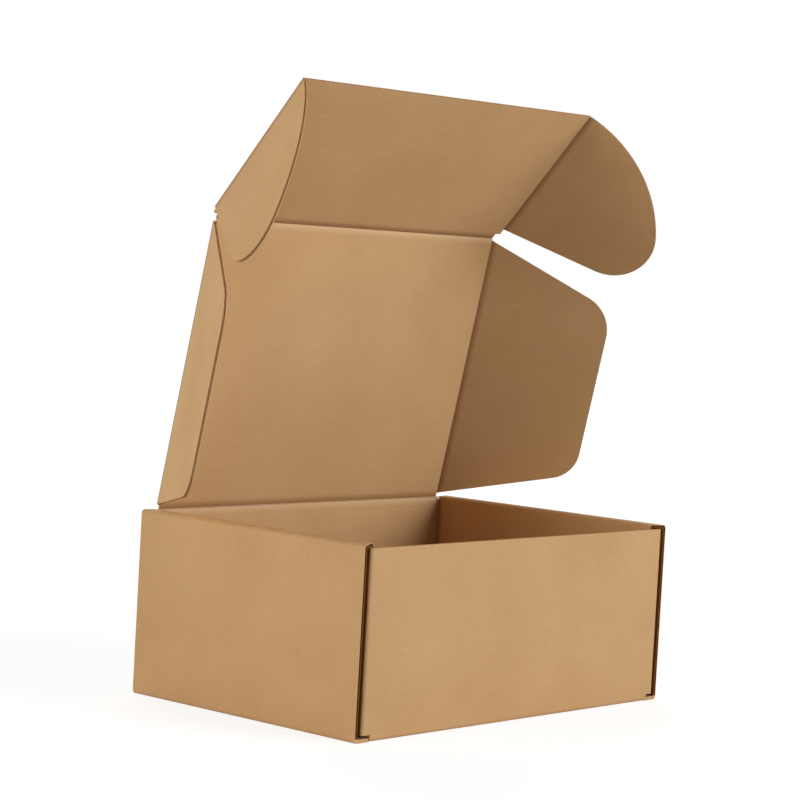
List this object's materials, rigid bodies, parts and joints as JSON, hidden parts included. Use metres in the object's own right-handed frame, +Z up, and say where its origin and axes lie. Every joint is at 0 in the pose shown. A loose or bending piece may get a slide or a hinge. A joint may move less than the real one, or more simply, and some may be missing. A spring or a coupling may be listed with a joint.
{
  "type": "corrugated mailer box",
  "caption": "Folding corrugated mailer box with rolled side walls, a hinged lid, dust wings and a front flap whose rounded ears tuck into the hollow side walls.",
  "frame": {"origin": "middle of the base's underside, on the surface the box stands on", "axes": "+Z up, -Y towards the front wall, +X towards the right side wall, lid hinge along X at +Y"},
  "size_m": [0.2637, 0.132, 0.2636],
  "materials": {
    "kraft_board": "matte"
  },
  "bodies": {
    "tray": {"tray": "kraft_board"},
    "lid": {"lid": "kraft_board"},
    "front_flap": {"front_flap": "kraft_board"},
    "left_ear": {"left_ear": "kraft_board"},
    "right_ear": {"right_ear": "kraft_board"},
    "left_wing": {"left_wing": "kraft_board"},
    "right_wing": {"right_wing": "kraft_board"}
  },
  "joints": [
    {"name": "lid_hinge", "type": "hinge", "parent": "tray", "child": "lid", "pos_m": [0, 0.06525, 0.0799], "axis": [1, 0, 0], "range_deg": [-101.9, 15]},
    {"name": "front_flap_fold", "type": "hinge", "parent": "lid", "child": "front_flap", "pos_m": [0, 0.03869, 0.20593], "axis": [1, 0, 0], "range_deg": [-30, 13]},
    {"name": "left_ear_fold", "type": "hinge", "parent": "front_flap", "child": "left_ear", "pos_m": [-0.0942, 0.03869, 0.20593], "axis": [0, -0.6678, 0.7443], "range_deg": [-59, 31]},
    {"name": "right_ear_fold", "type": "hinge", "parent": "front_flap", "child": "right_ear", "pos_m": [0.0942, 0.03869, 0.20593], "axis": [0, 0.6678, -0.7443], "range_deg": [-50, 40]},
    {"name": "left_wing_fold", "type": "hinge", "parent": "lid", "child": "left_wing", "pos_m": [-0.0909, 0.06525, 0.0799], "axis": [0, -0.2062, 0.9785], "range_deg": [-56, 34]},
    {"name": "right_wing_fold", "type": "hinge", "parent": "lid", "child": "right_wing", "pos_m": [0.0909, 0.06525, 0.0799], "axis": [0, 0.2062, -0.9785], "range_deg": [-45, 45]}
  ]
}
